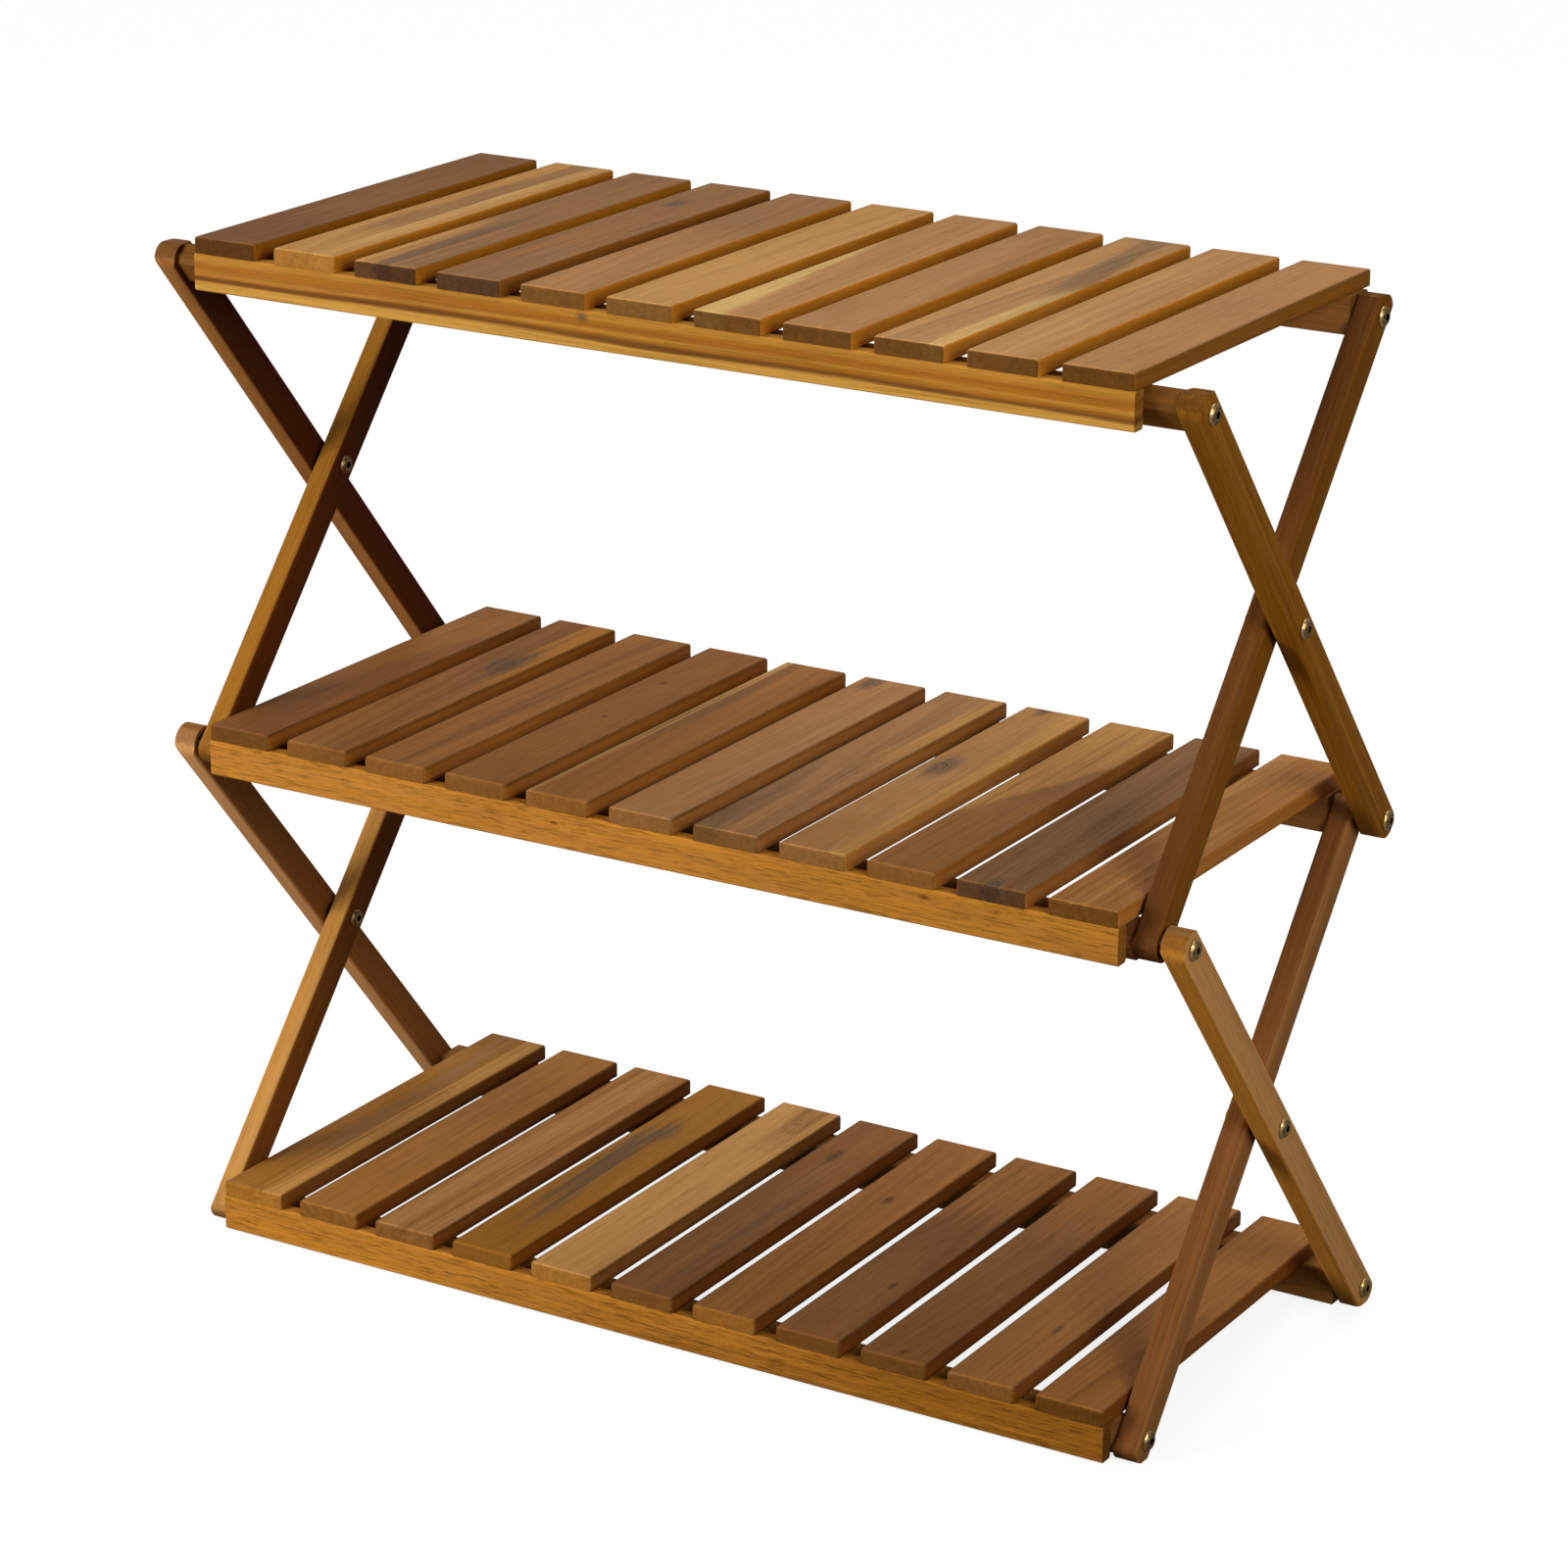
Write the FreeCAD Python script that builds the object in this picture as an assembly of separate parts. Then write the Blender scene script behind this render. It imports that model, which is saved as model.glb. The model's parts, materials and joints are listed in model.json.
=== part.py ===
import FreeCAD, Part
import math
import os
from FreeCAD import Vector

# A folding shoe rack with three slatted shelves on scissor legs.
# X runs along the shelves, Y to the back and Z up, in millimetres.
# The origin is on the floor, under the middle of the slats.

# Slats
slat_count = 11
slat_length = 300.0
slat_width = 44.5
slat_thickness = 10.0
slat_gap = 13.6
slat_edge_round = 2.2

# Scissor legs
tier_height = 304.0
pivot_spacing = 257.0
leg_width = 22.0
leg_thickness = 15.0
leg_edge_round = 3.0
leg_end_round = 9.0

# Front bars that the shelves rest on
bar_width = 22.5
bar_thickness = 15.5
bar_edge_chamfer = 3.0

# Rails under the slats
front_rail_height = 22.5
front_rail_thickness = 10.0
rear_rail_height = 23.0
rear_rail_depth = 24.0
rail_edge_chamfer = 1.0

# Bolts, cap nuts, threaded inserts and spacer washers
bolt_diameter = 6.0
bolt_head_diameter = 12.5
bolt_head_height = 3.0
head_rim_height = 0.8
head_crown_diameter = 8.0
hardware_sides = 12
socket_width = 4.0
socket_depth = 1.8
nut_head_diameter = 11.5
nut_head_height = 2.5
nut_barrel_diameter = 8.0
nut_barrel_length = 10.0
nut_bore_end = 1.0
insert_diameter = 9.0
insert_length = 14.0
insert_bore_end = 2.0
washer_diameter = 17.0
washer_thickness = 2.8

# Clearances
shelf_side_clearance = 2.75
shelf_rest_clearance = 0.3
bar_floor_clearance = 0.2
rail_end_clearance = 0.3
turning_clearance = 0.1
bore_clearance = 0.05
free_pivot_clearance = 0.2

# Shelf width, and the places of the two leg layers on the right-hand side
slat_pitch = slat_width + slat_gap
shelf_width = slat_count * slat_pitch - slat_gap
layer_gap = washer_thickness + 2 * turning_clearance
inner_leg_inside = shelf_width / 2 + shelf_side_clearance
inner_leg_outside = inner_leg_inside + leg_thickness
outer_leg_inside = inner_leg_outside + layer_gap
outer_leg_outside = outer_leg_inside + leg_thickness

# A front bar leans with its legs: how far its chamfered corners reach above and ahead of its pivot
leg_lean = math.atan2(pivot_spacing, tier_height)
leg_span = math.hypot(pivot_spacing, tier_height)


def corner_reach(width_share, thickness_share):
    half_width = bar_width / 2
    half_thickness = bar_thickness / 2
    wide = half_width * width_share + (half_thickness - bar_edge_chamfer) * thickness_share
    thick = (half_width - bar_edge_chamfer) * width_share + half_thickness * thickness_share
    return max(wide, thick)


bar_rise = corner_reach(math.cos(leg_lean), math.sin(leg_lean))
bar_reach = corner_reach(math.sin(leg_lean), math.cos(leg_lean))
leg_end_height = bar_rise + bar_floor_clearance

# Slat undersides above the pivots, and the front and rear pivot lines
slat_rise = bar_rise + shelf_rest_clearance
front_overhang = bar_reach + shelf_rest_clearance + front_rail_thickness
front_y = front_overhang - slat_length / 2
rear_y = front_y + pivot_spacing
tiers = ("bottom", "middle", "top")
pivot_z = {tier: leg_end_height + step * tier_height for step, tier in enumerate(tiers)}
front = {tier: Vector(0, front_y, pivot_z[tier]) for tier in tiers}
rear = {tier: Vector(0, rear_y, pivot_z[tier]) for tier in tiers}
lower_crossing = (front["bottom"] + rear["middle"]) / 2
upper_crossing = (front["middle"] + rear["top"]) / 2


def mirrored(solid):
    return solid.mirror(Vector(0, 0, 0), Vector(1, 0, 0))


def long_edges(solid):
    # Edges that run along X
    return [edge for edge in solid.Edges if edge.BoundBox.XLength > 0.9 * solid.BoundBox.XLength]


def rod(diameter, start_x, end_x, pivot):
    place = Vector(start_x, pivot.y, pivot.z)
    return Part.makeCylinder(diameter / 2, end_x - start_x, place, Vector(1, 0, 0))


# Slats: flat below, with rounded edges all round the top
def make_slat():
    slat = Part.makeBox(slat_width, slat_length, slat_thickness)
    top_edges = [edge for edge in slat.Edges if edge.BoundBox.ZMin > slat_thickness / 2]
    slat = slat.makeFillet(slat_edge_round, top_edges)
    slat.translate(Vector(-slat_width / 2, -slat_length / 2, 0))
    return slat


def shelf_slats(tier):
    pattern = make_slat()
    slats = {}
    for index in range(slat_count):
        slat = pattern.copy()
        centre_x = (slat_width - shelf_width) / 2 + index * slat_pitch
        slat.translate(Vector(centre_x, 0, pivot_z[tier] + slat_rise))
        slats[f"{tier}_slat_{index + 1:02d}"] = slat
    return slats


# Rails: both lie against the slat undersides, the rear one on the shelf's pivot line
def end_bores(solid, end_x, pivot):
    # A blind bore in each end for a threaded insert and the tip of its bolt
    bore = flat_sided_rod(insert_diameter, end_x - insert_length - insert_bore_end, end_x, pivot)
    return solid.cut([bore, mirrored(bore)])


def make_front_rail(tier):
    rail = Part.makeBox(shelf_width, front_rail_thickness, front_rail_height)
    rail = rail.makeChamfer(rail_edge_chamfer, long_edges(rail))
    top = pivot_z[tier] + slat_rise
    rail.translate(Vector(-shelf_width / 2, -slat_length / 2, top - front_rail_height))
    return rail


def make_rear_rail(tier, end_x):
    rail = Part.makeBox(2 * end_x, rear_rail_depth, rear_rail_height)
    rail = rail.makeChamfer(rail_edge_chamfer, long_edges(rail))
    top = pivot_z[tier] + slat_rise
    rail.translate(Vector(-end_x, rear_y - rear_rail_depth / 2, top - rear_rail_height))
    return end_bores(rail, end_x, rear[tier])


# Front bars, leaning with the legs that they are bolted to
def make_front_bar(tier, end_x, lean):
    bar = Part.makeBox(2 * end_x, bar_thickness, bar_width)
    bar = bar.makeChamfer(bar_edge_chamfer, long_edges(bar))
    bar.translate(Vector(-end_x, -bar_thickness / 2, -bar_width / 2))
    bar.rotate(Vector(0, 0, 0), Vector(1, 0, 0), math.degrees(lean))
    bar.translate(front[tier])
    return end_bores(bar, end_x, front[tier])


# Legs: moulded stock with rounded edges, half round at the end shared with another leg
# and cut level at the free end, where the pointed corner is rounded off
def leg_face(free, shared):
    along = Vector(free - shared).normalize()
    across = Vector(0, -along.z, along.y)
    half = leg_width / 2
    level = free.z + math.copysign(leg_end_height, along.z)
    corners = {}
    for side in (1, -1):
        start = free + across * (side * half)
        corners[side] = start + along * ((level - start.z) / along.z)
    pointed = max(corners, key=lambda side: (corners[side] - free).dot(along))
    point = corners[pointed]
    blunt = corners[-pointed]
    cut_way = Vector(blunt - point).normalize()
    half_angle = cut_way.getAngle(-along) / 2
    setback = leg_end_round / math.tan(half_angle)
    inward = Vector(cut_way - along).normalize()
    arc_middle = point + inward * (leg_end_round / math.sin(half_angle) - leg_end_round)
    cut_end = point + cut_way * setback
    edge_start = point - along * setback
    pointed_edge_end = shared + across * (pointed * half)
    blunt_edge_end = shared - across * (pointed * half)
    outline = [
        Part.LineSegment(blunt, cut_end),
        Part.Arc(cut_end, arc_middle, edge_start),
        Part.LineSegment(edge_start, pointed_edge_end),
        Part.Arc(pointed_edge_end, shared - along * half, blunt_edge_end),
        Part.LineSegment(blunt_edge_end, blunt),
    ]
    return Part.Face(Part.Wire([piece.toShape() for piece in outline]))


def leg_stock(free, shared):
    # A straight length with four rounded edges, longer than the leg at both ends
    spare = 2 * leg_width
    stock = Part.makeBox(leg_thickness, leg_width, leg_span + 2 * spare)
    stock = stock.makeFillet(leg_edge_round, [edge for edge in stock.Edges if edge.Length > leg_span])
    stock.translate(Vector(0, -leg_width / 2, -spare))
    along = free - shared
    turn = math.degrees(math.atan2(-along.y, along.z))
    stock.rotate(Vector(0, 0, 0), Vector(1, 0, 0), turn)
    stock.translate(shared)
    return stock


def make_leg(free, shared, inside_x, turning_bores, fixed_bores):
    # A leg turns on some of its bolts, in round bores, and others are fixed in it, in flat-sided seats
    blank = leg_face(free, shared).extrude(Vector(leg_thickness, 0, 0))
    leg = leg_stock(free, shared).common(blank)
    leg.translate(Vector(inside_x, 0, 0))
    outside_x = inside_x + leg_thickness
    tools = []
    for pivot, clearance in turning_bores:
        tools.append(rod(bolt_diameter + 2 * clearance, inside_x, outside_x, pivot))
    for pivot in fixed_bores:
        tools.append(flat_sided_rod(bolt_diameter, inside_x, outside_x, pivot))
    return leg.cut(tools)


def make_inner_leg(free, shared, crossing, turning_pivot, fixed_pivot):
    turning_bores = [(turning_pivot, bore_clearance)]
    leg = make_leg(free, shared, inner_leg_inside, turning_bores, [fixed_pivot, crossing])
    # Room for the barrel of the cap nut
    barrel_end = inner_leg_inside + nut_barrel_length
    return leg.cut(flat_sided_rod(nut_barrel_diameter, inner_leg_inside, barrel_end, crossing))


# Bolts, cap nuts, washers and inserts: small turned pieces, with a few flat sides for roundness
def ring(diameter, x):
    corners = []
    for index in range(hardware_sides):
        angle = 2 * math.pi * index / hardware_sides
        corners.append(Vector(x, diameter / 2 * math.cos(angle), diameter / 2 * math.sin(angle)))
    return corners


def turned(profile, hollow=False):
    # Flat-sided rings through (x, diameter) points; a hollow profile closes on itself
    rings = [ring(diameter, x) for x, diameter in profile]
    pairs = list(zip(rings, rings[1:]))
    if hollow:
        pairs.append((rings[-1], rings[0]))
    loops = []
    for first, second in pairs:
        for index in range(hardware_sides):
            following = (index + 1) % hardware_sides
            loops.append([first[index], first[following], second[following], second[index]])
    if not hollow:
        loops += [rings[0], rings[-1]]
    shell = Part.makeShell([Part.Face(Part.makePolygon(loop + loop[:1])) for loop in loops])
    shell.sewShape()
    solid = Part.makeSolid(shell)
    if solid.Volume < 0:
        solid.reverse()
    return solid


def flat_sided_rod(fitted_diameter, start_x, end_x, pivot):
    diameter = fitted_diameter + 2 * bore_clearance
    seat = turned([(start_x, diameter), (end_x, diameter)])
    seat.translate(pivot)
    return seat


def domed_head(head_diameter, head_height, stem_diameter, stem_length):
    # The head points to +X and the stem to -X, with the seat at x = 0
    return turned([
        (-stem_length, stem_diameter),
        (0, stem_diameter),
        (0, head_diameter),
        (head_rim_height, head_diameter),
        (head_height, head_crown_diameter),
    ])


def hex_socket(head_height):
    corners = []
    for index in range(6):
        angle = math.radians(60 * index)
        corner_radius = socket_width / math.sqrt(3)
        corners.append(Vector(0, corner_radius * math.cos(angle), corner_radius * math.sin(angle)))
    socket = Part.Face(Part.makePolygon(corners + corners[:1])).extrude(Vector(socket_depth, 0, 0))
    socket.translate(Vector(head_height - socket_depth, 0, 0))
    return socket


def make_bolt(seat_x, tip_x, pivot):
    head_x = seat_x + turning_clearance
    bolt = domed_head(bolt_head_diameter, bolt_head_height, bolt_diameter, head_x - tip_x)
    bolt = bolt.cut(hex_socket(bolt_head_height))
    bolt.translate(Vector(head_x, pivot.y, pivot.z))
    return bolt


def make_tube(outer_diameter, start_x, end_x, pivot):
    bore = bolt_diameter + 2 * bore_clearance
    wall = [(start_x, bore), (start_x, outer_diameter), (end_x, outer_diameter), (end_x, bore)]
    tube = turned(wall, hollow=True)
    tube.translate(pivot)
    return tube


def make_cap_nut(pivot):
    barrel_length = nut_barrel_length - bore_clearance
    nut = domed_head(nut_head_diameter, nut_head_height, nut_barrel_diameter, barrel_length)
    bore = bolt_diameter + 2 * bore_clearance
    nut = nut.cut(turned([(-nut_barrel_length, bore), (-nut_bore_end, bore)]))
    nut.rotate(Vector(0, 0, 0), Vector(0, 0, 1), 180)
    nut.translate(Vector(inner_leg_inside - turning_clearance, pivot.y, pivot.z))
    return nut


def make_washer(pivot):
    start_x = inner_leg_outside + turning_clearance
    return make_tube(washer_diameter, start_x, start_x + washer_thickness, pivot)


def make_insert(end_x, pivot):
    return make_tube(insert_diameter, end_x - insert_length, end_x, pivot)


def crossing_bolts(pivot):
    tip_x = inner_leg_inside + nut_bore_end + turning_clearance
    bolt = make_bolt(outer_leg_outside, tip_x, pivot)
    return both_sides([bolt, make_cap_nut(pivot), make_washer(pivot)])


def pivot_bolts(seat_x, end_x, pivot):
    # A bolt in the insert of a bar or rail that ends at end_x, with a washer between two leg layers
    pieces = [make_bolt(seat_x, end_x - insert_length, pivot), make_insert(end_x, pivot)]
    if seat_x == outer_leg_outside and end_x <= inner_leg_inside:
        pieces.append(make_washer(pivot))
    return both_sides(pieces)


def both_sides(pieces):
    return Part.makeCompound(pieces + [mirrored(piece) for piece in pieces])


nodes = {}

# Shelves
inner_rail_end = inner_leg_inside - rail_end_clearance
outer_rail_end = outer_leg_inside - rail_end_clearance
rear_rail_end = {"bottom": outer_rail_end, "middle": inner_rail_end, "top": inner_rail_end}
for tier in tiers:
    nodes.update(shelf_slats(tier))
    nodes[f"{tier}_front_rail"] = make_front_rail(tier)
    nodes[f"{tier}_rear_rail"] = make_rear_rail(tier, rear_rail_end[tier])

# Front bars: the top one between the outer legs, the others between the inner legs
nodes["top_front_bar"] = make_front_bar("top", outer_leg_inside, leg_lean)
nodes["middle_front_bar"] = make_front_bar("middle", inner_leg_inside, -leg_lean)
nodes["bottom_front_bar"] = make_front_bar("bottom", inner_leg_inside, -leg_lean)

# Legs, in pairs
upper_outer_bores = [(upper_crossing, bore_clearance), (rear["middle"], free_pivot_clearance)]
lower_outer_bores = [(pivot, bore_clearance) for pivot in (rear["bottom"], lower_crossing, front["middle"])]
leg_pairs = {
    "upper_outer_leg": make_leg(
        front["top"], rear["middle"], outer_leg_inside, upper_outer_bores, [front["top"]]
    ),
    "lower_outer_leg": make_leg(
        rear["bottom"], front["middle"], outer_leg_inside, lower_outer_bores, []
    ),
    "upper_inner_leg": make_inner_leg(
        rear["top"], front["middle"], upper_crossing, rear["top"], front["middle"]
    ),
    "lower_inner_leg": make_inner_leg(
        front["bottom"], rear["middle"], lower_crossing, rear["middle"], front["bottom"]
    ),
}
for name, leg in leg_pairs.items():
    nodes[f"{name}_right"] = leg
    nodes[f"{name}_left"] = mirrored(leg)

# Bolts with the nuts, washers and inserts that belong to them
nodes["upper_crossing_bolts"] = crossing_bolts(upper_crossing)
nodes["lower_crossing_bolts"] = crossing_bolts(lower_crossing)
nodes["top_front_bolts"] = pivot_bolts(outer_leg_outside, outer_leg_inside, front["top"])
nodes["middle_front_bolts"] = pivot_bolts(outer_leg_outside, inner_leg_inside, front["middle"])
nodes["bottom_front_bolts"] = pivot_bolts(inner_leg_outside, inner_leg_inside, front["bottom"])
nodes["top_rear_bolts"] = pivot_bolts(inner_leg_outside, inner_rail_end, rear["top"])
nodes["middle_rear_bolts"] = pivot_bolts(outer_leg_outside, inner_rail_end, rear["middle"])
nodes["bottom_rear_bolts"] = pivot_bolts(outer_leg_outside, outer_rail_end, rear["bottom"])

os.makedirs("parts", exist_ok=True)
for name, shape in nodes.items():
    shape.exportStep(f"parts/{name}.step")
print(len(nodes), "pieces or groups")
print("leg lean", round(math.degrees(leg_lean), 3), "degrees")
print("front and rear pivots at y", round(front_y, 3), round(rear_y, 3))
print("slat tops", [round(pivot_z[tier] + slat_rise + slat_thickness, 3) for tier in tiers])
print("outer legs end at x", outer_leg_outside)
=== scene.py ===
import json
import math
import bmesh
import bpy
from mathutils import Matrix, Vector

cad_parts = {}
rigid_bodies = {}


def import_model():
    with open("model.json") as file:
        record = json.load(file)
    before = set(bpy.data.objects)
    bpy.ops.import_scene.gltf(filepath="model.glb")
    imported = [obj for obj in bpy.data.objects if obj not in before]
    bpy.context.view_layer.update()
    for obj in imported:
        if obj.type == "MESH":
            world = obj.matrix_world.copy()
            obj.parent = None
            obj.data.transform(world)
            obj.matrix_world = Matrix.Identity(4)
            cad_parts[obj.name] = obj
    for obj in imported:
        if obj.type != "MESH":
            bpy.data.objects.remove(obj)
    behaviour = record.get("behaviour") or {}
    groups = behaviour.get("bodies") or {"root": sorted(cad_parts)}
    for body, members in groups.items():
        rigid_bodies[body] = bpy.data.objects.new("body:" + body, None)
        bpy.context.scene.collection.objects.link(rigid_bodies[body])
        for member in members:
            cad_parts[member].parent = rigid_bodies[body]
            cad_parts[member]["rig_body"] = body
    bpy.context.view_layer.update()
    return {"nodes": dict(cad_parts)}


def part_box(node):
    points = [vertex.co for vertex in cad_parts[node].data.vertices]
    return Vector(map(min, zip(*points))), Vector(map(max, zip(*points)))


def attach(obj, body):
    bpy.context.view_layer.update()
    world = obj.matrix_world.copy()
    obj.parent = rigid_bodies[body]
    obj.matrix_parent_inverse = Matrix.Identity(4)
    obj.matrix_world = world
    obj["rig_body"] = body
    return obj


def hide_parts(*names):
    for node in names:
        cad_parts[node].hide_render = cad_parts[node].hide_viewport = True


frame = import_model()
nodes = frame["nodes"]
mm = 0.001
print("frame loaded,", len(nodes), "nodes")


# shader sums

class Flow:  # one socket of a material's nodes, so that values can be added and multiplied
    def __init__(self, finish, socket):
        self.finish = finish
        self.socket = socket

    def other(self, key):  # another output of the same node
        return Flow(self.finish, self.socket.node.outputs[key])

    def sums(self, operation, first, second=0.0):
        return self.finish.add("ShaderNodeMath", {"operation": operation}, {0: first, 1: second})

    def __add__(self, value):
        return self.sums("ADD", self, value)

    def __radd__(self, value):
        return self.sums("ADD", value, self)

    def __sub__(self, value):
        return self.sums("SUBTRACT", self, value)

    def __rsub__(self, value):
        return self.sums("SUBTRACT", value, self)

    def __mul__(self, value):
        return self.sums("MULTIPLY", self, value)

    def __rmul__(self, value):
        return self.sums("MULTIPLY", value, self)

    def __truediv__(self, value):
        return self.sums("DIVIDE", self, value)

    def __pow__(self, value):
        return self.sums("POWER", self, value)

    def __abs__(self):
        return self.sums("ABSOLUTE", self)


class Finish:  # the nodes of a material or of the world
    def __init__(self, block):
        self.block = block
        self.block.use_nodes = True
        self.tree = self.block.node_tree
        self.tree.nodes.clear()

    def add(self, kind, settings=None, inputs=None, output=0):
        node = self.tree.nodes.new(kind)
        for key, value in (settings or {}).items():
            setattr(node, key, value)
        for key, value in (inputs or {}).items():
            if isinstance(value, Flow):
                self.tree.links.new(value.socket, node.inputs[key])
            else:
                node.inputs[key].default_value = value
        return Flow(self, node.outputs[output]) if node.outputs else node

    def noise(self, vector, stretch, detail=2.0, roughness=0.5):
        spread = self.add("ShaderNodeVectorMath", {"operation": "MULTIPLY"}, {0: vector, 1: stretch})
        inputs = {"Vector": spread, "Scale": 1.0, "Detail": detail, "Roughness": roughness}
        return self.add("ShaderNodeTexNoise", {}, inputs)

    def rings(self, distance, seed, detail=2.0):  # noise along one distance only
        inputs = {"W": distance + seed, "Scale": 1.0, "Detail": detail}
        return self.add("ShaderNodeTexNoise", {"noise_dimensions": "1D"}, inputs)

    def ease(self, value, low, high):  # 0 below low, 1 above high
        smooth = {"interpolation_type": "SMOOTHSTEP"}
        return self.add("ShaderNodeMapRange", smooth, {0: value, 1: low, 2: high})

    def facing(self, normal, way):  # how far a surface looks along way
        dot = {"operation": "DOT_PRODUCT"}
        return self.add("ShaderNodeVectorMath", dot, {0: normal, 1: way}, "Value")

    def mix(self, factor, first, second):
        return self.add("ShaderNodeMix", {"data_type": "RGBA"}, {0: factor, 6: first, 7: second}, 2)

    def shade(self, colour, factor):  # brighter or darker colour
        return self.add("ShaderNodeVectorMath", {"operation": "SCALE"}, {0: colour, "Scale": factor})

    def surface(self, inputs):
        shader = self.add("ShaderNodeBsdfPrincipled", {}, inputs)
        self.add("ShaderNodeOutputMaterial", {}, {"Surface": shader})
        return self.block


def linear(value):  # one screen channel, 0 to 255
    share = value / 255
    return share / 12.92 if share < 0.0405 else ((share + 0.055) / 1.055) ** 2.4


def tone(red, green, blue):
    return (linear(red), linear(green), linear(blue), 1.0)


# oiled acacia

woodTones = {
    "russet": tone(112, 66, 32),
    "umber": tone(96, 56, 24),
    "walnut": tone(138, 98, 60),
    "cocoa": tone(130, 86, 44),
    "chestnut": tone(150, 98, 46),
    "rose": tone(172, 124, 76),
    "tan": tone(184, 134, 80),
    "honey": tone(192, 140, 74),
    "straw": tone(212, 172, 104),
    "olive": tone(120, 72, 10),
    "gold": tone(148, 98, 32),
    "amber": tone(178, 116, 38),
    "wheat": tone(204, 152, 66),
    "ginger": tone(170, 108, 28),
    "copper": tone(153, 92, 28),
    "cinnamon": tone(137, 86, 31),
    "toast": tone(118, 74, 22),
    "ember": tone(115, 58, 7),
    "mahogany": tone(66, 18, 2),
    "rust": tone(164, 100, 4),
    "peat": tone(100, 60, 6),
    "bark": tone(58, 28, 9),
    "smoke": tone(74, 62, 52),
}

grain = {
    "waver": 0.011,  # how far the growth rings wander, m
    "broad": 75.0,  # growth bands per metre
    "fine": 430.0,
    "streak": (260.0, 5.0, 260.0),
    "fibre": (1300.0, 20.0, 1300.0),
    "pore": (2300.0, 60.0, 2300.0),
    "dash": (1100.0, 85.0, 1100.0),
    "patch": (16.0, 6.0, 16.0),
    "roughness": 0.48,
    "bumpHeight": 0.0005,
    "bumpStrength": 0.2,
    "base": 0.79,  # brightness, and how much each layer adds to it or takes away
    "patchLight": 0.3,
    "fibreLight": 0.5,
    "streakLight": 0.6,
    "poreShade": 0.24,
    "endShade": 0.24,
    "faceShare": 0.85,
    "rimWidth": 3 * mm,
}
legFaceShading = {"inside": (1, 0, 0), "front": (0, -1.3, 0)}  # ways out of the leg faces whose tone is painted light and shade


def band(start, end, shade, strength=0.7, lean=0.0, front=-999, rear=999):
    # a stripe from start to end across a piece, in mm, which leans and can stop along the piece
    return {"start": start, "end": end, "tone": shade, "strength": strength,
            "lean": lean, "front": front, "rear": rear}


def knot(x, y, size, shade="bark", slim=2.4):
    return {"x": x * mm, "y": y * mm, "size": size * mm, "tone": shade, "slim": slim}


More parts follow.
